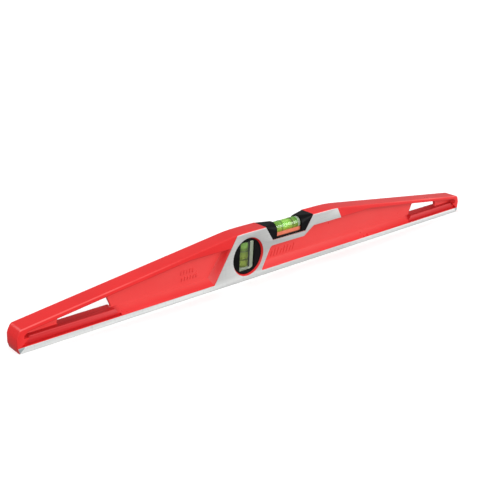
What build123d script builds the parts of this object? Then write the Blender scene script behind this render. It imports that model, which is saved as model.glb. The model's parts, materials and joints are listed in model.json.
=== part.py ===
from build123d import *
import os

# Cast trapezoid spirit level, 600 mm.
# Frame: X runs along the sole, the front with the plumb window left of the middle faces -Y, and Z is up.
# The origin is the middle of the sole's underside. All sizes are millimetres.

# ---------------------------------------------------------------- driving dimensions
LENGTH = 600.0            # overall length of the casting
WIDTH = 18.0              # ground faces of the boss and of the sole strip
MID_HEIGHT = 50.0         # sole to the flat top
END_HEIGHT = 20.0         # sole to the top slope at the ends
FLAT_HALF = 68.6          # half length of the flat top
SHOULDER_R = 190.0        # rounding where slope meets flat
EDGE_R = 1.2              # rounding of the long top edges
END_CORNER_R = 1.6        # rounding of the upright end corners
END_TOP_R = 4.0           # rounding of the end's top corner
END_CROWN = 0.4           # bow of the end in plan
END_INSET = 4.0           # how far the end leans in at the top
END_FOOT = 1.8            # and at the sole
END_FLAT = (6.0, 13.0)    # heights between which the end is at its longest
END_ROUND = 15.0          # rounding above and below that stretch

WEB = 3.0                 # thickness of the web between the recesses
STRIP_H = 5.0             # height of the bare strip above the sole
FACE_STEP = 0.4           # painted faces lie this far below the ground faces
RAIL_H = 4.0              # height of the top rail's front face on the slopes
GROOVE_Z = 37.6           # level part of the groove below the flat top
GROOVE_BEND_X = 126.3     # where the groove stops following the slope
SOFT_Z = 11.0             # top of the soft slope above the strip, on the web

BOSS_FOOT_X = 97.0        # edge of the ground boss, level with the strip
BOSS_HEAD_X = 70.0        # the same edge at the flat top
POST_X = 293.2            # end post, where the recess starts
BOSS_RUN_HEAD = 3.5       # width of the soft slope from the web up to the boss, at the groove
BOSS_RUN_FOOT = 6.5       # and at its foot
POST_CUT = 4.0            # length of the cut corner between the post and the rail
POST_CUT_Z = 2.2          # and its height
POST_DRAFT = 2.0          # how far the post's inner wall slopes in, down to the web

# flange under each slot: flat on top, with a slightly bellied side that draws in above the strip
FLANGE_Z = 12.1           # its flat top, level with the slot's floor
FLANGE_TOP_Y = 5.2        # half width of the flat top
FLANGE_ROUND = 1.0        # rounding of its edge
FLANGE_BELLY_Y = 6.6      # half width at the fullest point of its side
FLANGE_FOOT_Y = 5.6       # half width above the strip
FLANGE_LEDGE = 0.3        # height from the bare strip to where that side starts
FLANGE_END = [(201.0, STRIP_H), (207.0, FLANGE_Z)]   # slanted end towards the middle
FLANGE_OUT = [(297.0, STRIP_H), (288.0, FLANGE_Z)]   # and where its side runs out into the post

# hand slot, right side: outer end of its floor, over the top, to the inner end of its floor
SLOT = [(261.0, FLANGE_Z), (258.6, 19.6), (212.9, 25.6), (207.0, FLANGE_Z)]
SLOT_R = 1.6

# recessed panel beside the plumb window, as drawn on the ground face
PANEL = [(-37.0, STRIP_H), (-25.5, 28.8), (21.5, 28.8), (35.0, GROOVE_Z)]
PANEL_DRAFT = 0.8         # how far the panel's walls slope in, down to the web
PANEL_CORNER = 3.0        # length cut from each side at its two rounded corners
CORNER_STEPS = 4          # straight runs that make up each rounded corner

# raised generic marks on the web: x, z and count of each row, then the bars' shape
RELIEF_T = 0.5            # height of the marks above the web
RELIEF_ROOT = 0.2         # and how far they reach into it
SMALL_ROWS = [(-132.3, 22.3, 5), (-131.5, 15.6, 6)]
SMALL_BARS = {"pitch": 3.4, "width": 1.5, "lean": 0.6, "heights": (3.4, 4.2)}
PANEL_ROW = (-18.0, 13.2, 8)
PANEL_BARS = {"pitch": 4.4, "width": 1.7, "lean": 2.2, "heights": (5.6, 7.6, 7.6)}

# plumb window
PLUMB_X = -55.0
PLUMB_Z = 24.2
PLUMB_BORE_R = 18.4
PLUMB_MOUTH_R = 19.8      # bore radius at the ground face
PLUMB_SEAT = 2.0          # depth of the tapered mouth

# notch for the level vial's housing
NOTCH_TOP = 33.7          # half length at the flat top
NOTCH_FLOOR = 22.9        # half length at its floor
NOTCH_Z = 34.0

# level vial (lies along X)
BED_T = 0.5               # adhesive under the housing
HOUSING_Y = 8.7           # half width of the housing
HOUSING_TOP = 49.9
LEDGE_Z = 36.0            # floor between the cheeks
CHEEK_X = 17.5            # inner face of each cheek
ARCH_R = 8.2              # rounding of the cheek's inner arch
VIAL_Z = 42.6             # axis of the level vial
VIAL_R = 6.0
VIAL_FLAT_Z = 37.6        # flat underside of the barrel
VIAL_HALF = 20.0
VIAL_BORE_R = 4.6
VIAL_BORE_HALF = 15.6
BUBBLE_R = 3.3
BUBBLE_RISE = 1.6         # bubble's axis above the vial's axis
BUBBLE_HALF = 6.5
BUBBLE_TRAVEL = 8.5
LINE_X = 7.3              # index lines, just clear of the bubble's ends
LINE_W = 0.7
LINE_T = 0.15
CRADLE_Y = 6.4            # half width of the orange cradle
CRADLE_Z = 39.6           # and its lip

# plumb vial (stands upright)
BEZEL_R = 18.35
BEZEL_INNER_R = 16.2
BEZEL_T = 2.0
CARRIER_R = 18.0
CARRIER_PROUD = 1.9       # how far its middle stands up inside the bezel
BLOCK_X = 9.5             # half sizes of the acrylic block
BLOCK_Y = 4.95
BLOCK_Z = 15.0
BLOCK_CHAMFER = 0.4
REAR_WINDOW = (5.6, 12.4)  # half width and height of the window behind the block
PLUMB_TUBE_R = 4.5
PLUMB_TUBE_HALF = 12.0
PLUMB_BUBBLE_R = 3.4
PLUMB_BUBBLE_H = 6.0
PLUMB_TRAVEL = 17.0
PLUMB_LINE_Z = 4.2        # index lines above and below the middle

FIT = 0.05                # clearance between pieces that only rest together
OUT = 1.0                 # how far cutting tools run past a face


def slope_z(x):
    """Height of the top line at x, before the shoulder is rounded."""
    rise = (MID_HEIGHT - END_HEIGHT) / (LENGTH / 2 - FLAT_HALF)
    return min(MID_HEIGHT, END_HEIGHT + rise * (LENGTH / 2 - abs(x)))


def rail_z(x):
    """Underside of the top rail at x on a slope."""
    return slope_z(x) - RAIL_H


def boss_x(z):
    """Distance of the ground boss's edge from the middle, at height z."""
    lean = (BOSS_FOOT_X - BOSS_HEAD_X) / (MID_HEIGHT - STRIP_H)
    return BOSS_FOOT_X - lean * (z - STRIP_H)


def outline(points):
    """Flat face in the XZ plane through the given (x, z) points."""
    return make_face(Polyline([(x, 0, z) for x, z in points], close=True))


def slab(points, y0, y1):
    """Prism with the given (x, z) outline between two values of y."""
    face = outline(points).moved(Location((0, y0, 0)))
    return extrude(face, amount=y1 - y0, dir=(0, 1, 0))


def front_and_back(tool):
    """The tool together with its mirror image behind the XZ plane."""
    return tool + mirror(tool, about=Plane.XZ)


def recess(outer, inner):
    """Pocket from the ground face down to the web, drawn as two outlines."""
    front = -WIDTH / 2
    rings = []
    for points, y in ((outer, front), (inner, -WEB / 2)):
        rings.append(Wire.make_polygon([(x, y, z) for x, z in points], close=True))
    pocket = Solid.make_loft(rings, ruled=True)
    return pocket + slab(outer, front - OUT, front)


def soft_corner(before, corner, after):
    """Points that round off a corner of an outline, from the side before it to the side after it."""
    corner = Vector(*corner)
    start = corner + (Vector(*before) - corner).normalized() * PANEL_CORNER
    end = corner + (Vector(*after) - corner).normalized() * PANEL_CORNER
    points = []
    for i in range(CORNER_STEPS + 1):
        t = i / CORNER_STEPS
        point = start * (1 - t) ** 2 + corner * (2 * t * (1 - t)) + end * t ** 2
        points.append((point.X, point.Y))
    return points


def last_two_rounded(points):
    """The same outline with its last two corners rounded."""
    ends = soft_corner(points[-3], points[-2], points[-1])
    ends += soft_corner(points[-2], points[-1], points[0])
    return points[:-2] + ends


def along_x(radius, x0, x1, z=0.0, y=0.0):
    """Round bar along X."""
    bar = Cylinder(radius, x1 - x0, rotation=(0, 90, 0))
    return bar.moved(Location(((x0 + x1) / 2, y, z)))


def along_y(radius, y0, y1, x, z):
    """Round bar along Y."""
    bar = Cylinder(radius, y1 - y0, rotation=(90, 0, 0))
    return bar.moved(Location((x, (y0 + y1) / 2, z)))


def upright(radius, z0, z1, x=PLUMB_X):
    """Round bar along Z."""
    return Cylinder(radius, z1 - z0).moved(Location((x, 0, (z0 + z1) / 2)))


def block(x0, x1, y0, y1, z0, z1):
    """Box between two corners."""
    box = Box(x1 - x0, y1 - y0, z1 - z0)
    return box.moved(Location(((x0 + x1) / 2, (y0 + y1) / 2, (z0 + z1) / 2)))


# ---------------------------------------------------------------- the casting
def end_plan():
    """Plan of the casting: bowed ends with rounded corners."""
    half, side = LENGTH / 2, WIDTH / 2
    corner_x = half - END_CROWN
    right = ThreePointArc((corner_x, -side), (half, 0), (corner_x, side))
    left = ThreePointArc((-corner_x, side), (-half, 0), (-corner_x, -side))
    back = Line((corner_x, side), (-corner_x, side))
    front = Line((-corner_x, -side), (corner_x, -side))
    face = make_face([right, back, left, front])
    return fillet(face.vertices(), END_CORNER_R)


def casting_blank():
    """Solid trapezoid with its rounded shoulders, ends and long edges."""
    half = LENGTH / 2
    top_x = half - END_INSET
    side = [(half - END_FOOT, 0), (half, END_FLAT[0]), (half, END_FLAT[1]), (top_x, slope_z(top_x)),
            (FLAT_HALF, MID_HEIGHT)]
    face = outline(side + [(-x, z) for x, z in reversed(side)])
    face = fillet(face.vertices().filter_by(lambda v: abs(v.X) < half / 2), SHOULDER_R)
    tops = face.vertices().filter_by(lambda v: abs(v.X) > half / 2 and v.Z > END_HEIGHT)
    face = fillet(tops, END_TOP_R)
    waist = face.vertices().filter_by(lambda v: min(END_FLAT) - FIT < v.Z < max(END_FLAT) + FIT)
    face = fillet(waist, END_ROUND)
    blank = extrude(face.moved(Location((0, -WIDTH / 2, 0))), amount=WIDTH, dir=(0, 1, 0))
    rim = blank.edges().filter_by(lambda e: abs(abs(e.center().Y) - WIDTH / 2) < FIT and e.center().Z > FIT)
    blank = fillet(rim, EDGE_R)
    return blank & extrude(end_plan(), amount=MID_HEIGHT)


def mirrored(points):
    """The same outline on the other side of the YZ plane."""
    return [(-x, z) for x, z in points]


def slope_recess():
    """Recess between the flange's end and the groove's bend, as outlines on the face and on the web."""
    head_x, head_z = FLANGE_END[1]
    under_rail = [(head_x, rail_z(head_x)), (GROOVE_BEND_X, GROOVE_Z)]
    inner = [(head_x - (head_z - SOFT_Z), SOFT_Z), (head_x, head_z)]
    return FLANGE_END + under_rail, inner + under_rail


def slot_recess():
    """Low recess over the flange, round the slot (right side)."""
    start = (FLANGE_END[0][0] + FLANGE_END[1][0]) / 2
    rings = []
    for post_x in (POST_X, POST_X - POST_DRAFT):
        cut_x = post_x - POST_CUT
        rings.append([(start, FLANGE_Z), (start, rail_z(start)), (cut_x, rail_z(cut_x)),
                      (post_x, rail_z(POST_X) - POST_CUT_Z), (post_x, FLANGE_Z)])
    return recess(*rings)


def slot_tool():
    """Four-cornered hand slot, right through the web (right side)."""
    face = outline(SLOT)
    face = fillet(face.vertices(), SLOT_R)
    face = face.moved(Location((0, -WIDTH / 2, 0)))
    return extrude(face, amount=WIDTH, dir=(0, 1, 0))


def flange_side():
    """What is cut away outside the bellied side of the flange (right side, front)."""
    foot_z, out_y, out_z = STRIP_H + FLANGE_LEDGE, -WIDTH / 2 - OUT, FLANGE_Z + OUT
    edge = Vector(0, -FLANGE_TOP_Y, FLANGE_Z)
    side = Vector(0, -FLANGE_TOP_Y - FLANGE_ROUND, FLANGE_Z - FLANGE_ROUND)
    belly = Vector(0, -FLANGE_BELLY_Y, (side.Z + foot_z) / 2)
    foot = Vector(0, -FLANGE_FOOT_Y, foot_z)
    corner = Vector(0, -FLANGE_TOP_Y, side.Z)
    middle = corner + (Vector(0, -1, 1).normalized() * FLANGE_ROUND)
    rest = Polyline([foot, (0, out_y, foot_z), (0, out_y, out_z), (0, -FLANGE_TOP_Y, out_z), edge])
    face = make_face([ThreePointArc(edge, middle, side), ThreePointArc(side, belly, foot), rest])
    start = FLANGE_END[0][0]
    tool = extrude(face, amount=LENGTH / 2 - start, dir=(1, 0, 0)).moved(Location((start, 0, 0)))
    reach = FLANGE_OUT + [(FLANGE_OUT[-1][0], out_z), (start, out_z), (start, STRIP_H)]
    return tool & slab(reach, out_y, 0)


def bar_row(x, z, count, pitch, width, lean, heights):
    """Row of raised bars on the web, all leaning the same way, with heights that repeat."""
    bars = []
    for i in range(count):
        foot, top = x + i * pitch, z + heights[i % len(heights)]
        points = [(foot, z), (foot + width, z), (foot + width + lean, top), (foot + lean, top)]
        bars.append(slab(points, -WEB / 2 - RELIEF_T, -WEB / 2 + RELIEF_ROOT))
    return bars


def relief_bars():
    """Raised generic marks: short rows left of the plumb window, slanted bars on the panel."""
    marks = bar_row(*PANEL_ROW, **PANEL_BARS)
    for row in SMALL_ROWS:
        marks += bar_row(*row, **SMALL_BARS)
    return marks


def make_cast_body():
    body = casting_blank()
    face = -WIDTH / 2

    # painted faces stand a little below the ground boss and strip
    reach = LENGTH / 2 + OUT
    head_z = MID_HEIGHT + OUT
    side = [(BOSS_FOOT_X, STRIP_H), (reach, STRIP_H), (reach, head_z), (boss_x(head_z), head_z)]
    for points in (side, mirrored(side)):
        body -= front_and_back(slab(points, face - OUT, face + FACE_STEP))

    # left recess, ending at the boss in a wide soft slope
    outer, inner = slope_recess()
    outer, inner = mirrored(outer), mirrored(inner)
    outer += [(-boss_x(GROOVE_Z), GROOVE_Z), (-BOSS_FOOT_X, STRIP_H)]
    inner += [(-boss_x(GROOVE_Z) - BOSS_RUN_HEAD, GROOVE_Z), (-boss_x(SOFT_Z) - BOSS_RUN_FOOT, SOFT_Z)]
    left = recess(outer, inner)

    # right recess, running on under the housing as a panel
    outer, inner = slope_recess()
    outer += [(x, z) for x, z in reversed(PANEL)]
    inner += [(x + PANEL_DRAFT, z - PANEL_DRAFT) for x, z in reversed(PANEL[1:])]
    (foot_x, foot_z), (corner_x, corner_z) = PANEL[:2]
    wall_x = foot_x + (corner_x - foot_x) * (SOFT_Z - foot_z) / (corner_z - foot_z)
    inner.append((wall_x + 2 * PANEL_DRAFT, SOFT_Z))
    right = recess(last_two_rounded(outer), last_two_rounded(inner))

    # round the slots: the recess, the flange's side and the slot itself
    ends = slot_recess() + flange_side()
    ends += mirror(ends, about=Plane.YZ)
    slots = slot_tool()
    slots += mirror(slots, about=Plane.YZ)
    for tool in (left, right, ends):
        body -= front_and_back(tool)
    body -= slots

    # plumb window and housing notch
    body -= along_y(PLUMB_BORE_R, face - OUT, -face + OUT, PLUMB_X, PLUMB_Z)
    mouth = Cone(PLUMB_BORE_R, PLUMB_MOUTH_R, PLUMB_SEAT, rotation=(90, 0, 0))
    body -= front_and_back(mouth.moved(Location((PLUMB_X, face + PLUMB_SEAT / 2, PLUMB_Z))))
    lift = (NOTCH_TOP - NOTCH_FLOOR) * OUT / (MID_HEIGHT - NOTCH_Z)
    notch = [(-NOTCH_FLOOR, NOTCH_Z), (NOTCH_FLOOR, NOTCH_Z), (NOTCH_TOP + lift, MID_HEIGHT + OUT),
             (-NOTCH_TOP - lift, MID_HEIGHT + OUT)]
    body -= slab(notch, face - OUT, -face + OUT)

    for mark in relief_bars():
        body += mark
    return body


# ---------------------------------------------------------------- level vial
def cheek_section(x, round_r):
    """Section of a cheek across the level, with its top corners rounded."""
    corners = [(x, -HOUSING_Y, NOTCH_Z), (x, HOUSING_Y, NOTCH_Z), (x, HOUSING_Y, HOUSING_TOP),
               (x, -HOUSING_Y, HOUSING_TOP)]
    face = make_face(Polyline(corners, close=True))
    return fillet(face.vertices().filter_by(lambda v: v.Z > NOTCH_Z + OUT), round_r)


def make_housing():
    """Black housing: a thin floor and two cheeks that end in round arches."""
    floor_z = NOTCH_Z + BED_T
    flare = (NOTCH_TOP - NOTCH_FLOOR) / (MID_HEIGHT - NOTCH_Z)
    low = NOTCH_FLOOR + flare * BED_T - FIT
    high = NOTCH_FLOOR + flare * (HOUSING_TOP - NOTCH_Z) - FIT
    body = slab([(-low, floor_z), (low, floor_z), (high, HOUSING_TOP), (-high, HOUSING_TOP)],
                -HOUSING_Y, HOUSING_Y)
    cheek = loft([cheek_section(CHEEK_X, ARCH_R), cheek_section(NOTCH_TOP, EDGE_R)])
    shape = cheek + mirror(cheek, about=Plane.YZ)
    shape += block(-CHEEK_X, CHEEK_X, -HOUSING_Y, HOUSING_Y, NOTCH_Z, LEDGE_Z)
    body &= shape
    return body - along_x(VIAL_R + FIT, -VIAL_HALF - FIT, VIAL_HALF + FIT, VIAL_Z)


def above(z):
    """Everything round the barrel that lies above the given height."""
    return block(-VIAL_HALF - OUT, VIAL_HALF + OUT, -2 * VIAL_R, 2 * VIAL_R, z, MID_HEIGHT)


def make_vial_barrel():
    body = along_x(VIAL_R, -VIAL_HALF, VIAL_HALF, VIAL_Z) & above(VIAL_FLAT_Z)
    return body - along_x(VIAL_BORE_R, -VIAL_HALF - OUT, VIAL_HALF + OUT, VIAL_Z)


def make_vial_plug(side):
    x0, x1 = sorted((side * VIAL_BORE_HALF, side * VIAL_HALF))
    return along_x(VIAL_BORE_R, x0, x1, VIAL_Z)


def capsule(radius, reach):
    """Round-ended bar along X in the upper part of the vial's bore."""
    z = VIAL_Z + BUBBLE_RISE
    bar = along_x(radius, radius - reach, reach - radius, z)
    for x in (radius - reach, reach - radius):
        bar += Sphere(radius).moved(Location((x, 0, z)))
    return bar


def make_vial_fluid():
    """Liquid, with the bubble's path left free."""
    bore = along_x(VIAL_BORE_R, -VIAL_BORE_HALF, VIAL_BORE_HALF, VIAL_Z)
    return bore - capsule(BUBBLE_R + 2 * FIT, BUBBLE_HALF + BUBBLE_TRAVEL + 2 * FIT)


def make_vial_bubble():
    bore = along_x(VIAL_BORE_R - 2 * FIT, -VIAL_BORE_HALF, VIAL_BORE_HALF, VIAL_Z)
    return capsule(BUBBLE_R, BUBBLE_HALF) & bore


def make_vial_lines():
    """Two printed lines over the barrel, down to the cradle's lips."""
    lines = []
    for x in (-LINE_X, LINE_X):
        ring = along_x(VIAL_R + LINE_T, x - LINE_W / 2, x + LINE_W / 2, VIAL_Z)
        ring -= along_x(VIAL_R, x - LINE_W, x + LINE_W, VIAL_Z)
        lines.append(ring & above(CRADLE_Z - FIT))
    return Compound(lines)


def make_cradle():
    """Orange backing that holds the barrel's underside."""
    x = CHEEK_X - 2 * FIT
    body = block(-x, x, -CRADLE_Y, CRADLE_Y, LEDGE_Z, CRADLE_Z)
    return body - (along_x(VIAL_R + LINE_T + FIT, -VIAL_HALF, VIAL_HALF, VIAL_Z) & above(VIAL_FLAT_Z - FIT))


def make_housing_bed():
    x, y = NOTCH_FLOOR - 2 * FIT, HOUSING_Y - BED_T
    return block(-x, x, -y, y, NOTCH_Z, NOTCH_Z + BED_T)


# ---------------------------------------------------------------- plumb vial
SEAT_Y = WIDTH / 2 - PLUMB_SEAT          # front of the bezels
CARRIER_Y = SEAT_Y - BEZEL_T             # front of the carrier halves
TUBE_TOP = PLUMB_Z + PLUMB_TUBE_HALF
TUBE_FOOT = PLUMB_Z - PLUMB_TUBE_HALF


def ring(outer_r, inner_r, y0, y1):
    """Flat ring round the plumb window's axis."""
    return along_y(outer_r, y0, y1, PLUMB_X, PLUMB_Z) - along_y(inner_r, y0 - OUT, y1 + OUT, PLUMB_X, PLUMB_Z)


def make_bezel(side):
    """Snap ring, with the outer and inner corners of its face rounded."""
    face_y = side * SEAT_Y
    y0, y1 = sorted((side * CARRIER_Y, face_y))
    body = ring(BEZEL_R, BEZEL_INNER_R, y0, y1)
    circles = body.edges().filter_by(GeomType.CIRCLE)
    rims = circles.filter_by(lambda e: abs(e.center().Y - face_y) < FIT)
    return fillet(rims, BEZEL_T / 4)


def make_carrier(side):
    """One half of the black core. The acrylic block goes in from the front, up to a lip at the rear."""
    y0, y1 = sorted((0, side * CARRIER_Y))
    body = along_y(CARRIER_R, y0, y1, PLUMB_X, PLUMB_Z)
    y0, y1 = sorted((0, side * (CARRIER_Y + CARRIER_PROUD)))
    body += along_y(BEZEL_INNER_R - FIT, y0, y1, PLUMB_X, PLUMB_Z)
    x, z = BLOCK_X + FIT, BLOCK_Z + FIT
    body -= block(PLUMB_X - x, PLUMB_X + x, -WIDTH, BLOCK_Y + FIT, PLUMB_Z - z, PLUMB_Z + z)
    x, z = REAR_WINDOW
    return body - block(PLUMB_X - x, PLUMB_X + x, -WIDTH, WIDTH, PLUMB_Z - z, PLUMB_Z + z)


def line_rings(outer_r):
    """Solid discs at the heights of the two index lines."""
    discs = []
    for z in (PLUMB_Z - PLUMB_LINE_Z, PLUMB_Z + PLUMB_LINE_Z):
        discs.append(upright(outer_r, z - LINE_W / 2, z + LINE_W / 2))
    return discs


def make_block():
    """Acrylic block with an upright bore, open at the foot for its plug."""
    body = Box(2 * BLOCK_X, 2 * BLOCK_Y, 2 * BLOCK_Z).moved(Location((PLUMB_X, 0, PLUMB_Z)))
    body = chamfer(body.edges().filter_by(Axis.Z), BLOCK_CHAMFER)
    body -= upright(PLUMB_TUBE_R, PLUMB_Z - BLOCK_Z - OUT, TUBE_TOP)
    for disc in line_rings(PLUMB_TUBE_R + LINE_T):
        body -= disc
    return body


def make_plumb_plug():
    return upright(PLUMB_TUBE_R, PLUMB_Z - BLOCK_Z, TUBE_FOOT)


def make_plumb_fluid():
    """Liquid, with the bubble's path left free and open to the top."""
    path_foot = TUBE_TOP - PLUMB_BUBBLE_H - PLUMB_TRAVEL - 4 * FIT
    path = upright(PLUMB_BUBBLE_R + 2 * FIT, path_foot, TUBE_TOP + OUT)
    return upright(PLUMB_TUBE_R, TUBE_FOOT, TUBE_TOP) - path


def make_plumb_bubble():
    """Bubble at the top end of its tube, with rounded ends."""
    top = TUBE_TOP - 2 * FIT
    body = upright(PLUMB_BUBBLE_R, top - PLUMB_BUBBLE_H, top)
    rims = body.edges().filter_by(GeomType.CIRCLE)
    body = fillet(rims.sort_by(Axis.Z)[:1], PLUMB_BUBBLE_H / 3)
    return fillet(body.edges().filter_by(GeomType.CIRCLE).sort_by(Axis.Z)[-1:], PLUMB_BUBBLE_H / 6)


def make_plumb_lines():
    bore = upright(PLUMB_TUBE_R, TUBE_FOOT, TUBE_TOP)
    return Compound([disc - bore for disc in line_rings(PLUMB_TUBE_R + LINE_T)])


def make_plumb_bed():
    y = CARRIER_Y - FIT
    return ring(PLUMB_BORE_R, CARRIER_R, -y, y)


# ---------------------------------------------------------------- one file per piece
PIECES = {
    "cast_body": make_cast_body(),
    "top_vial_housing": make_housing(),
    "top_vial_barrel": make_vial_barrel(),
    "top_vial_plug_left": make_vial_plug(-1),
    "top_vial_plug_right": make_vial_plug(1),
    "top_vial_fluid": make_vial_fluid(),
    "top_vial_bubble": make_vial_bubble(),
    "top_vial_lines": make_vial_lines(),
    "top_vial_cradle": make_cradle(),
    "top_vial_bedding": make_housing_bed(),
    "plumb_bezel_front": make_bezel(-1),
    "plumb_bezel_rear": make_bezel(1),
    "plumb_carrier_front": make_carrier(-1),
    "plumb_carrier_rear": make_carrier(1),
    "plumb_vial_block": make_block(),
    "plumb_vial_plug": make_plumb_plug(),
    "plumb_vial_fluid": make_plumb_fluid(),
    "plumb_vial_bubble": make_plumb_bubble(),
    "plumb_vial_lines": make_plumb_lines(),
    "plumb_bedding": make_plumb_bed(),
}

os.makedirs("parts", exist_ok=True)
for name, shape in PIECES.items():
    export_step(shape, f"parts/{name}.step")
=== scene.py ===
import json
import math

import bmesh
import bpy
from mathutils import Matrix, Vector

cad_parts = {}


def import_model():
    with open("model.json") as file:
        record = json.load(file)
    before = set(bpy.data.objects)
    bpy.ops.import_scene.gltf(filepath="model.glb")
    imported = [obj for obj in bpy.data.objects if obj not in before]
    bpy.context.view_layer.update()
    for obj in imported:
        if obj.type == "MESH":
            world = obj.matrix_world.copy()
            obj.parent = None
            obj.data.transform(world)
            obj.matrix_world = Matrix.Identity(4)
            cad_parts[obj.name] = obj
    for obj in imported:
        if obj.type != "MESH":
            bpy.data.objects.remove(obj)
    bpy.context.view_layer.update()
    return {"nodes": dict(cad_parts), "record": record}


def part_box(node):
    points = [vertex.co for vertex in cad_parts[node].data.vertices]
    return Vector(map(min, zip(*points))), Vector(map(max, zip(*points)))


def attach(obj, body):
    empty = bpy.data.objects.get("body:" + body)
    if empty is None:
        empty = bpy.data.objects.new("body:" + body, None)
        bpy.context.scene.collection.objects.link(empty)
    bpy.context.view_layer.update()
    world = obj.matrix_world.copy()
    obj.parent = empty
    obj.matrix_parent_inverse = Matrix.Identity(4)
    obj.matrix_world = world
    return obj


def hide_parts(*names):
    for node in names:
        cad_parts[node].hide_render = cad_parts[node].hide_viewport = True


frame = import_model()

# Looks of the cast spirit level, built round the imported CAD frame. Metres, +Z up, sole at Z = 0.
NODES = frame["nodes"]
MM = 0.001

# lines of the casting that the paint's masks follow
GROUND_Y = 9.0 * MM                    # half width over the ground faces
FLAT_Z = 50.0 * MM                     # flat top
TOP_LINE = (58.89 * MM, 0.12965)       # top slope: height where it would meet the middle, and its fall
GROOVE_Z = 37.6 * MM                   # groove under the flat top
GROOVE_LINES = ((52.55 * MM, 0.1183), (54.88 * MM, 0.1296))    # and along the slopes
RAIL_FALL = 0.13                       # fall of the top rail's underside
BEFORE_POST = (292.0 * MM, 289.0 * MM)  # the masks fade in here, inside the end post

# sizes of the pieces made here
BODY_EDGE = 0.5 * MM                   # rounding of the casting's corners
BORE_CORNER = 0.6 * MM                 # rounding at the level liquid's ends
TUBE_CORNER = 0.8 * MM                 # and at the upright liquid's
BUBBLE_GAP = 0.1 * MM                  # between the level bubble and the top of its bore
PLUMB_BUBBLE_END = 2.4 * MM            # rounding at the upright bubble's ends
BLOCK_EDGE = 0.4 * MM                  # rounding of the clear block's edges
FLOOR_REACH = 6.0
FLOOR_Z = -0.2 * MM                    # just below the sole

PAINT = {
    "deep": (0.66, 0.012, 0.013),
    "bright": (0.74, 0.017, 0.018),
    # painted light and shade on the red, in order: sheen on the web, shadow line under the rail, shade on the
    # flange sides and tops, highlight on the top edges
    "web_sheen": (0.72, 0.050, 0.047),
    "rail_shadow": (0.30, 0.006, 0.008),
    "flange_side": (0.53, 0.010, 0.013),
    "flange_top_shade": (0.50, 0.007, 0.009),
    "edge_highlight": (0.88, 0.16, 0.15),
    "speck": (0.42, 0.01, 0.01),
}
METAL = {
    "boss_dark": (0.46, 0.46, 0.455),
    "boss_light": (0.58, 0.58, 0.57),
    # the strip tones are painted bright, a painted reflection of the floor; the end tone is a painted
    # reflection of darker surroundings
    "strip_dark": (0.72, 0.73, 0.72),
    "strip_light": (0.84, 0.85, 0.84),
    "strip_end": (0.34, 0.39, 0.40),
    "scratch": (0.36, 0.36, 0.36),
}


# ---------------------------------------------------------------- material helpers
class Graph:
    """A material's node tree with short calls for the nodes that the finishes share."""

    def __init__(self, name):
        self.material = bpy.data.materials.new(name)
        self.material.use_nodes = True
        self.tree = self.material.node_tree
        self.shader = self.tree.nodes["Principled BSDF"]
        self.coords = self.tree.nodes.new("ShaderNodeTexCoord").outputs["Object"]

    def glow(self, colour, strength):
        """A weak, even light given off by the surface itself, which paints light onto it."""
        self.shader.inputs["Emission Color"].default_value = (*colour, 1.0)
        self.set(Emission_Strength=strength)

    def set(self, **values):
        for key, value in values.items():
            self.shader.inputs[key.replace("_", " ")].default_value = value

    def link(self, output, socket):
        self.tree.links.new(output, socket)

    def feed(self, output, name):
        self.link(output, self.shader.inputs[name])

    def stretched(self, scale):
        """The object's coordinates, scaled along each axis."""
        node = self.tree.nodes.new("ShaderNodeMapping")
        node.inputs["Scale"].default_value = scale
        self.link(self.coords, node.inputs["Vector"])
        return node.outputs["Vector"]

    def noise(self, scale, detail=4.0, rough=0.55, stretch=(1, 1, 1)):
        node = self.tree.nodes.new("ShaderNodeTexNoise")
        node.inputs["Scale"].default_value = scale
        node.inputs["Detail"].default_value = detail
        node.inputs["Roughness"].default_value = rough
        self.link(self.stretched(stretch), node.inputs["Vector"])
        return node.outputs["Fac"]

    def ramp(self, value, low, high, out_low=0.0, out_high=1.0):
        """Maps a value's stretch from low to high onto another, and holds it there."""
        node = self.tree.nodes.new("ShaderNodeMapRange")
        node.clamp = True
        for key, number in (("From Min", low), ("From Max", high), ("To Min", out_low), ("To Max", out_high)):
            node.inputs[key].default_value = number
        self.link(value, node.inputs["Value"])
        return node.outputs["Result"]

    def mottle(self, scale, detail=4.0, rough=0.55, low=0.0, high=1.0):
        """Soft noise whose middle part is spread over the stretch from low to high."""
        return self.ramp(self.noise(scale, detail, rough), 0.3, 0.7, low, high)

    def falling(self, span, line):
        """Height of a sloping line at a distance from the middle."""
        head, fall = line
        return self.math("SUBTRACT", head, self.math("MULTIPLY", span, fall))

    def all_of(self, *masks):
        """Mask that holds where every one of the given masks does."""
        total = masks[0]
        for mask in masks[1:]:
            total = self.math("MINIMUM", total, mask)
        return total

    def math(self, kind, a, b=None):
        node = self.tree.nodes.new("ShaderNodeMath")
        node.operation = kind
        for slot, value in zip(node.inputs, (a, b)):
            if value is None:
                continue
            if isinstance(value, (int, float)):
                slot.default_value = value
            else:
                self.link(value, slot)
        return node.outputs["Value"]

    def mix(self, factor, a, b):
        """Blend of two colours, each a socket or an RGB triple."""
        node = self.tree.nodes.new("ShaderNodeMix")
        node.data_type = "RGBA"
        for name, value in (("Factor", factor), ("A", a), ("B", b)):
            slots = [s for s in node.inputs if s.name == name and s.enabled]
            if isinstance(value, tuple):
                slots[0].default_value = (*value, 1.0)
            elif isinstance(value, (int, float)):
                slots[0].default_value = value
            else:
                self.link(value, slots[0])
        return [s for s in node.outputs if s.enabled][0]

    def bump(self, height, strength, distance):
        node = self.tree.nodes.new("ShaderNodeBump")
        node.inputs["Strength"].default_value = strength
        node.inputs["Distance"].default_value = distance
        self.link(height, node.inputs["Height"])
        self.feed(node.outputs["Normal"], "Normal")

    def axes(self, source=None):
        node = self.tree.nodes.new("ShaderNodeSeparateXYZ")
        self.link(source or self.coords, node.inputs["Vector"])
        return node.outputs["X"], node.outputs["Y"], node.outputs["Z"]


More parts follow.
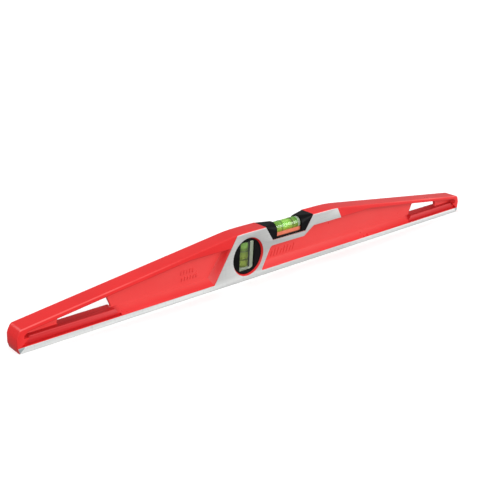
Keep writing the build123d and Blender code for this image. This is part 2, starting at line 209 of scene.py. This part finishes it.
def paint_colour(g, span, across, z, off_post, flange):
    """Red with painted light and shade: a paler sheen on the web, a shadow line under the rail, shade on the
    flanges under the slots and a highlight along the top edges; and dark specks.
    """
    red = g.mix(g.mottle(14.0, 5.0), PAINT["deep"], PAINT["bright"])

    # painted sheen: the web below the rail painted paler and pinker, as a face lit near its highlight looks
    slope = g.math("ADD", z, g.math("MULTIPLY", span, RAIL_FALL))
    below_rail = g.all_of(g.ramp(slope, 55.9 * MM, 55.4 * MM), g.ramp(z, 46.0 * MM, 45.0 * MM))
    inside = g.math("MULTIPLY", g.all_of(below_rail, off_post), g.ramp(across, 6.5 * MM, 2.5 * MM))
    sheen_amount = g.math("MULTIPLY", inside, g.mottle(25.0, 4.0, low=0.75))
    red = g.mix(sheen_amount, red, PAINT["web_sheen"])

    # painted shadow: a thin dark line along the rail's lower edge, standing in for the shade under the rail
    groove = g.math("MINIMUM", g.falling(span, GROOVE_LINES[0]), GROOVE_Z)
    groove = g.math("MINIMUM", groove, g.falling(span, GROOVE_LINES[1]))
    near = g.ramp(g.math("ABSOLUTE", g.math("SUBTRACT", z, groove)), 0.9 * MM, 0.3 * MM)
    rail_shadow = g.math("MULTIPLY", g.all_of(near, off_post), g.ramp(across, 4.0 * MM, 6.5 * MM))
    red = g.mix(g.math("MULTIPLY", rail_shadow, 0.35), red, PAINT["rail_shadow"])

    # painted shade: the flanges under the slots darker red, the top as shaded under the rail, the side as
    # turned down from the light
    on_top = g.ramp(z, 11.6 * MM, 12.0 * MM)
    red = g.mix(flange, red, g.mix(on_top, PAINT["flange_side"], PAINT["flange_top_shade"]))

    # painted highlight: a paler pink line along the top front edges, strongest towards the ends
    top = g.math("MINIMUM", g.falling(span, TOP_LINE), FLAT_Z)
    edge_highlight = g.ramp(g.math("SUBTRACT", top, z), 1.3 * MM, 0.6 * MM)
    edge_highlight = g.all_of(edge_highlight, g.ramp(across, 7.7 * MM, 8.2 * MM))
    edge_highlight = g.math("MULTIPLY", edge_highlight, g.mottle(35.0, 3.0, low=0.3, high=0.7))
    edge_highlight = g.math("MULTIPLY", edge_highlight, g.ramp(span, 140.0 * MM, 240.0 * MM, 0.15, 1.0))
    red = g.mix(edge_highlight, red, PAINT["edge_highlight"])

    speck = g.ramp(g.noise(900.0, 2.0, 0.7), 0.70, 0.78)
    return g.mix(g.math("MULTIPLY", speck, 0.25), red, PAINT["speck"])


def metal_colour(g, span, z, lines):
    """Ground aluminium with faint cross marks: painted brighter towards the sole as a reflection of the
    floor, and darker bluish grey at the strip's ends as a reflection of darker surroundings.
    """
    tone = g.ramp(lines, 0.3, 0.7)
    cross = g.noise(1.0, 4.0, 0.6, (700.0, 700.0, 90.0))
    metal = g.mix(tone, METAL["boss_dark"], METAL["boss_light"])
    off_boss = g.ramp(span, 80.0 * MM, 115.0 * MM, 0.5, 1.0)
    # painted reflection: the strip paler towards the sole, as a reflection of the white floor, less under the
    # boss
    strip = g.math("MULTIPLY", g.ramp(z, 9.0 * MM, 2.0 * MM), off_boss)
    metal = g.mix(strip, metal, g.mix(tone, METAL["strip_dark"], METAL["strip_light"]))
    # painted reflection: the strip's ends darker bluish grey, as their rounded corners would mirror darker
    # surroundings
    reach = g.math("ADD", span, g.math("MULTIPLY", z, 1.1))
    metal = g.mix(g.ramp(reach, 297.8 * MM, 298.6 * MM), metal, METAL["strip_end"])
    return g.mix(g.math("MULTIPLY", g.ramp(cross, 0.55, 0.8), 0.3), metal, METAL["scratch"])


def paint_material():
    """Satin red paint over cast aluminium, ground bare on the boss, the strip and the sole."""
    g = Graph("painted_casting")
    x, y, z = g.axes()
    span, across = g.math("ABSOLUTE", x), g.math("ABSOLUTE", y)

    # bare metal on the ground faces and on the sole
    wobble = g.mottle(90.0, 3.0, low=-0.03 * MM, high=0.03 * MM)
    side = g.ramp(g.math("ADD", across, wobble), GROUND_Y - 0.37 * MM, GROUND_Y - 0.06 * MM)
    sole = g.ramp(z, 0.10 * MM, 0.03 * MM)
    bare = g.math("MAXIMUM", side, sole)
    keep = g.math("SUBTRACT", 1.0, bare)

    off_post = g.ramp(span, *BEFORE_POST)
    # the flanges under the slots, which get painted shade and rougher paint
    flange = g.all_of(g.ramp(z, 12.6 * MM, 12.3 * MM), g.ramp(across, 7.6 * MM, 7.2 * MM), off_post,
                      g.ramp(span, 200.0 * MM, 206.0 * MM))
    lines = g.noise(1.0, 6.0, 0.7, (60.0, 2500.0, 2500.0))    # grinding lines along the level
    red = paint_colour(g, span, across, z, off_post, flange)
    g.feed(g.mix(bare, red, metal_colour(g, span, z, lines)), "Base Color")
    g.feed(g.math("MULTIPLY", bare, 0.6), "Metallic")

    paint_rough = g.math("ADD", g.mottle(40.0, 4.0, low=0.27, high=0.34), g.math("MULTIPLY", flange, 0.25))
    metal_rough = g.ramp(lines, 0.3, 0.7, 0.48, 0.62)
    rough = g.math("ADD", g.math("MULTIPLY", keep, paint_rough), g.math("MULTIPLY", bare, metal_rough))
    g.feed(rough, "Roughness")
    g.set(Specular_IOR_Level=0.45)

    peel = g.noise(700.0, 3.0, 0.5)
    cast = g.noise(160.0, 4.0, 0.6)
    skin = g.math("ADD", g.math("MULTIPLY", peel, 0.35), g.math("MULTIPLY", cast, 0.65))
    height = g.math("ADD", g.math("MULTIPLY", keep, skin), g.math("MULTIPLY", bare, lines))
    g.bump(height, 0.25, 0.0002)
    return g.material


def black_plastic():
    g = Graph("black_plastic")
    g.set(Specular_IOR_Level=0.06)
    tone = g.mottle(60.0, 4.0)
    g.feed(g.mix(tone, (0.003, 0.003, 0.0034), (0.006, 0.006, 0.007)), "Base Color")
    g.feed(g.mottle(500.0, 3.0, low=0.28, high=0.40), "Roughness")
    g.bump(g.noise(1800.0, 2.0), 0.15, 0.00008)
    return g.material


def acrylic():
    g = Graph("acrylic")
    g.set(Transmission_Weight=1.0, IOR=1.49)
    g.feed(g.mix(g.mottle(30.0, 2.0), (0.97, 1.0, 0.97), (0.93, 0.98, 0.94)), "Base Color")
    g.feed(g.mottle(220.0, 4.0, low=0.12, high=0.17), "Roughness")
    g.bump(g.noise(1.0, 2.0, 0.5, (40.0, 300.0, 300.0)), 0.004, 0.0001)
    return g.material


def frosted():
    """Moulded, unpolished side of an acrylic piece."""
    g = Graph("acrylic_frosted")
    tone = g.mottle(450.0, 4.0, 0.6)
    g.feed(g.mix(tone, (0.50, 0.52, 0.47), (0.66, 0.68, 0.62)), "Base Color")
    g.feed(g.ramp(tone, 0.0, 1.0, 0.45, 0.65), "Roughness")
    # painted light: the frosted sides glow weakly, so they look lit through the clear acrylic
    g.glow((0.80, 0.84, 0.74), 0.22)
    g.bump(g.noise(2200.0, 3.0), 0.3, 0.00005)
    return g.material


def liquid(name, low, high, low_z, high_z, glow):
    """Dyed liquid: mostly clear, glowing with painted light in the dye's colour, lighter towards its foot."""
    g = Graph(name)
    g.set(Transmission_Weight=0.6, IOR=1.03, Roughness=0.06)
    cloud = g.mottle(90.0, 2.0, 0.5, low=-0.08, high=0.08)
    rise = g.math("ADD", g.ramp(g.axes()[2], low_z, high_z), cloud)
    colour = g.mix(g.ramp(rise, 0.0, 1.0), low, high)
    g.feed(colour, "Base Color")
    # painted light: the liquid glows weakly in its own colour
    g.feed(colour, "Emission Color")
    g.set(Emission_Strength=glow)
    return g.material


def air():
    g = Graph("air")
    g.set(Transmission_Weight=1.0, IOR=1.33)
    g.feed(g.mix(g.mottle(200.0, 2.0), (0.90, 1.0, 0.72), (0.98, 1.0, 0.90)), "Base Color")
    g.feed(g.mottle(300.0, 2.0, low=0.02, high=0.05), "Roughness")
    # painted light: the bubble glows weakly, pale yellow-green
    g.glow((0.75, 1.0, 0.35), 0.22)
    return g.material


def orange():
    g = Graph("orange_plastic")
    tone = g.mottle(250.0, 4.0, 0.6)
    g.feed(g.mix(tone, (0.57, 0.12, 0.06), (0.67, 0.18, 0.11)), "Base Color")
    g.feed(g.mottle(400.0, 3.0, low=0.32, high=0.5), "Roughness")
    # painted light: a weak orange glow makes the orange plastic look brighter
    g.glow((1.0, 0.25, 0.06), 0.08)
    g.bump(g.noise(1200.0, 2.0), 0.2, 0.0001)
    return g.material


def ink():
    g = Graph("line_ink")
    tone = g.mottle(900.0, 3.0)
    g.feed(g.mix(tone, (0.012, 0.014, 0.012), (0.03, 0.03, 0.03)), "Base Color")
    g.feed(g.ramp(tone, 0.0, 1.0, 0.4, 0.6), "Roughness")
    return g.material


def pale_plug():
    g = Graph("plug_plastic")
    g.set(Transmission_Weight=0.4, IOR=1.45)
    tone = g.mottle(300.0, 3.0)
    g.feed(g.mix(tone, (0.62, 0.70, 0.58), (0.80, 0.86, 0.76)), "Base Color")
    g.feed(g.ramp(tone, 0.0, 1.0, 0.25, 0.4), "Roughness")
    return g.material


def adhesive():
    g = Graph("adhesive")
    tone = g.mottle(350.0, 5.0, 0.65)
    g.feed(g.mix(tone, (0.42, 0.40, 0.36), (0.62, 0.60, 0.55)), "Base Color")
    g.feed(g.ramp(tone, 0.0, 1.0, 0.6, 0.85), "Roughness")
    g.bump(g.noise(500.0, 4.0), 0.4, 0.0003)
    return g.material


MATERIALS = {
    "painted_casting": paint_material(),
    "black_plastic": black_plastic(),
    "acrylic": acrylic(),
    "frosted": frosted(),
    # painted reflection: the level liquid yellower towards its foot, where the orange cradle below would
    # reflect into it
    "green_fluid": liquid("green_fluid", (0.48, 0.50, 0.07), (0.22, 0.56, 0.09), 39 * MM, 45 * MM, 0.18),
    "plumb_fluid": liquid("plumb_fluid", (0.27, 0.34, 0.06), (0.12, 0.24, 0.08), 22 * MM, 38 * MM, 0.14),
    "air": air(),
    "orange_plastic": orange(),
    "line_ink": ink(),
    "plug_plastic": pale_plug(),
    "adhesive": adhesive(),
}


# ---------------------------------------------------------------- pieces
def dress(obj, material):
    """Puts a finish on all of a piece."""
    if not obj.material_slots:
        obj.data.materials.append(None)
    for place in obj.material_slots:
        place.material = MATERIALS[material]


def smooth(obj, degrees=30.0):
    """Smooth shading with sharp creases kept."""
    for poly in obj.data.polygons:
        poly.use_smooth = True
    obj.data.set_sharp_from_angle(angle=math.radians(degrees))


def softened_copy(node, name, width, segments=2, angle=28.0):
    """A copy of a CAD node with its flat faces made whole and its corners rounded, standing for that node."""
    mesh = NODES[node].data.copy()
    bm = bmesh.new()
    bm.from_mesh(mesh)
    bmesh.ops.remove_doubles(bm, verts=bm.verts, dist=0.002 * MM)
    bmesh.ops.dissolve_limit(bm, angle_limit=math.radians(0.6), verts=bm.verts, edges=bm.edges)
    bm.to_mesh(mesh)
    bm.free()
    obj = bpy.data.objects.new(name, mesh)
    bpy.context.scene.collection.objects.link(obj)
    bevel = obj.modifiers.new("round_edges", "BEVEL")
    bevel.width = width
    bevel.segments = segments
    bevel.limit_method = "ANGLE"
    bevel.angle_limit = math.radians(angle)
    bevel.use_clamp_overlap = True
    bevel.harden_normals = True
    smooth(obj, 60.0)
    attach(obj, frame_body(node))
    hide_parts(node)
    return obj


def frame_body(node):
    return next(body for body, members in frame["record"]["behaviour"]["bodies"].items() if node in members)


slots = {s["node"]: s["material_slot"] for s in frame["record"]["subparts"]}
for node, obj in NODES.items():
    dress(obj, "plumb_fluid" if node == "plumb_vial_fluid" else slots[node])

body = softened_copy("cast_body", "cast_body_finished", BODY_EDGE)
dress(body, "painted_casting")


def new_piece(name, bm, node, *materials):
    """Turns a bmesh into a smooth piece that rides where a CAD node rides and stands for it."""
    mesh = bpy.data.meshes.new(name)
    bmesh.ops.recalc_face_normals(bm, faces=bm.faces)
    bm.to_mesh(mesh)
    bm.free()
    for key in materials:
        mesh.materials.append(MATERIALS[key])
    obj = bpy.data.objects.new(name, mesh)
    bpy.context.scene.collection.objects.link(obj)
    smooth(obj)
    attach(obj, frame_body(node))
    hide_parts(node)
    return obj


def lathe(profile, axis, centre, steps=64, flat_below=None):
    """Closed solid of revolution. The profile is (distance along the axis, radius), ends on the axis."""
    bm = bmesh.new()
    x, y, z = Vector((1, 0, 0)), Vector((0, 1, 0)), Vector((0, 0, 1))
    along, side, up = (x, y, z) if axis == "X" else (z, x, y)
    rings = []
    for offset, radius in profile:
        base = centre + along * offset
        if radius == 0:
            rings.append([bm.verts.new(base)])
            continue
        turns = [2 * math.pi * i / steps for i in range(steps)]
        rings.append([bm.verts.new(base + radius * (math.cos(t) * side + math.sin(t) * up)) for t in turns])
    for a, b in zip(rings, rings[1:]):
        for i in range(steps):
            corners = [a[i % len(a)], a[(i + 1) % len(a)], b[(i + 1) % len(b)], b[i % len(b)]]
            bm.faces.new(list(dict.fromkeys(corners)))
    if flat_below is not None:
        for vert in bm.verts:
            vert.co.z = max(vert.co.z, flat_below)
        bmesh.ops.dissolve_degenerate(bm, edges=bm.edges, dist=1e-7)
    return bm


def rounded_ends(half, radius, corner, steps=5):
    """Profile of a bar with rounded end corners, for lathe()."""
    turn = [math.pi / 2 * i / steps for i in range(steps + 1)]
    end = [(half - corner + corner * math.cos(t), radius - corner + corner * math.sin(t)) for t in turn]
    return [(-half, 0)] + [(-x, r) for x, r in end] + [(x, r) for x, r in reversed(end)] + [(half, 0)]


def middle(lo, hi):
    return (Vector(lo) + Vector(hi)) / 2


def level_vial():
    """Barrel as one clear body with frosted ends, liquid and bubble nested inside it."""
    lo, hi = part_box("top_vial_barrel")
    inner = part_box("top_vial_fluid")
    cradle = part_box("top_vial_cradle")
    radius = (hi.y - lo.y) / 2
    centre = Vector(((lo.x + hi.x) / 2, 0, hi.z - radius))
    half = (cradle[1].x - cradle[0].x) / 2
    barrel = lathe([(-half, 0), (-half, radius), (half, radius), (half, 0)], "X", centre, flat_below=lo.z)
    obj = new_piece("level_vial_barrel", barrel, "top_vial_barrel", "acrylic", "frosted")
    for poly in obj.data.polygons:
        poly.material_index = int(abs(poly.normal.x) > 0.9)

    reach = (inner[1].x - inner[0].x) / 2
    bore = (inner[1].y - inner[0].y) / 2
    new_piece("level_vial_liquid", lathe(rounded_ends(reach, bore, BORE_CORNER), "X", centre),
              "top_vial_fluid", "green_fluid")
    b_lo, b_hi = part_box("top_vial_bubble")
    b_radius = (b_hi.y - b_lo.y) / 2
    profile = rounded_ends((b_hi.x - b_lo.x) / 2, b_radius, b_radius * 0.98, 10)
    b_centre = Vector(((b_lo.x + b_hi.x) / 2, 0, b_lo.z + b_radius))
    bubble = lathe(profile, "X", b_centre)
    ceiling = centre.z + bore - BUBBLE_GAP
    for vert in bubble.verts:
        vert.co.z = min(vert.co.z, ceiling)
    new_piece("level_vial_bubble", bubble, "top_vial_bubble", "air")


def plumb_vial():
    """Block as one clear body with frosted sides, liquid and bubble nested inside it."""
    lo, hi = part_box("plumb_vial_block")
    bm = bmesh.new()
    scale = Matrix.Diagonal((*(hi - lo), 1))
    bmesh.ops.create_cube(bm, size=1.0, matrix=Matrix.Translation(middle(lo, hi)) @ scale)
    bmesh.ops.bevel(bm, geom=bm.edges[:], offset=BLOCK_EDGE, segments=3, profile=0.5, affect="EDGES")
    obj = new_piece("plumb_vial_clear_block", bm, "plumb_vial_block", "acrylic", "frosted")
    for poly in obj.data.polygons:
        poly.material_index = int(abs(poly.normal.y) < 0.5)

    t_lo, t_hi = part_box("plumb_vial_fluid")
    profile = rounded_ends((t_hi.z - t_lo.z) / 2, (t_hi.x - t_lo.x) / 2, TUBE_CORNER)
    new_piece("plumb_vial_liquid", lathe(profile, "Z", middle(t_lo, t_hi)), "plumb_vial_fluid", "plumb_fluid")
    b_lo, b_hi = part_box("plumb_vial_bubble")
    profile = rounded_ends((b_hi.z - b_lo.z) / 2, (b_hi.x - b_lo.x) / 2, PLUMB_BUBBLE_END, 8)
    new_piece("plumb_vial_bubble_air", lathe(profile, "Z", middle(b_lo, b_hi)), "plumb_vial_bubble", "air")


level_vial()
plumb_vial()


# ---------------------------------------------------------------- floor, light, camera
def floor():
    mesh = bpy.data.meshes.new("floor")
    reach, z = FLOOR_REACH, FLOOR_Z
    corners = [(-reach, -reach, z), (reach, -reach, z), (reach, reach, z), (-reach, reach, z)]
    mesh.from_pydata(corners, [], [(0, 1, 2, 3)])
    obj = bpy.data.objects.new("floor", mesh)
    bpy.context.scene.collection.objects.link(obj)
    g = Graph("floor")
    g.feed(g.mix(g.mottle(3.0), (0.86, 0.86, 0.86), (0.88, 0.88, 0.88)), "Base Color")
    g.set(Roughness=0.9)
    g.glow((1.0, 1.0, 1.0), 0.25)
    obj.data.materials.append(g.material)
    obj.visible_diffuse = False
    obj.visible_glossy = False


def camera():
    """Camera in front of the left half, above the sole and slightly rolled."""
    azimuth, elevation, roll = math.radians(-43.0), math.radians(21.0), math.radians(2.6)
    distance, target = 0.793, Vector((-0.0590, 0.0, 0.0397))
    flat = math.cos(elevation)
    back = Vector((math.sin(azimuth) * flat, -math.cos(azimuth) * flat, math.sin(elevation)))
    right = Vector((0, 0, 1)).cross(back).normalized()
    up = back.cross(right)
    level_right, level_up = right, up
    right = math.cos(roll) * level_right + math.sin(roll) * level_up
    up = math.cos(roll) * level_up - math.sin(roll) * level_right
    data = bpy.data.cameras.new("camera")
    data.sensor_width = 36.0
    data.lens = 61.97
    obj = bpy.data.objects.new("camera", data)
    turn = Matrix((right, up, back)).transposed().to_4x4()
    obj.matrix_world = Matrix.Translation(target + distance * back) @ turn
    bpy.context.scene.collection.objects.link(obj)
    bpy.context.scene.camera = obj


def world():
    """White studio: brightest overhead and in front, dimmer behind and from below."""
    data = bpy.data.worlds.new("studio")
    data.use_nodes = True
    tree = data.node_tree
    coords = tree.nodes.new("ShaderNodeTexCoord")
    split = tree.nodes.new("ShaderNodeSeparateXYZ")
    tree.links.new(coords.outputs["Generated"], split.inputs["Vector"])
    level = tree.nodes.new("ShaderNodeMapRange")
    side = tree.nodes.new("ShaderNodeMapRange")
    total = tree.nodes.new("ShaderNodeMath")
    for node, source, low, high in ((level, "Z", 0.25, 0.70), (side, "Y", 1.2, 0.5)):
        node.inputs["From Min"].default_value = -1.0
        node.inputs["To Min"].default_value = low
        node.inputs["To Max"].default_value = high
        tree.links.new(split.outputs[source], node.inputs["Value"])
    total.operation = "MULTIPLY"
    tree.links.new(level.outputs["Result"], total.inputs[0])
    tree.links.new(side.outputs["Result"], total.inputs[1])
    tree.links.new(total.outputs["Value"], tree.nodes["Background"].inputs["Strength"])
    tree.nodes["Background"].inputs["Color"].default_value = (1.0, 1.0, 1.0, 1.0)
    bpy.context.scene.world = data


def distant_light(name, towards, strength, spread):
    """Light that falls evenly on everything from one direction, with soft edges. The spread is in degrees."""
    data = bpy.data.lights.new(name, "SUN")
    data.energy = strength
    data.angle = math.radians(spread)
    obj = bpy.data.objects.new(name, data)
    obj.rotation_euler = Vector(towards).to_track_quat("Z", "Y").to_euler()
    bpy.context.scene.collection.objects.link(obj)


floor()
world()
for lamp in (("key", (0.62, -0.72, 0.32), 1.9, 40), ("front", (-0.50, -0.84, 0.20), 1.3, 60),
             ("back", (-0.45, 0.50, 0.74), 1.7, 50), ("left", (-1.00, -0.10, 0.20), 0.25, 60)):
    distant_light(*lamp)
camera()
bpy.context.scene.view_settings.view_transform = "Standard"
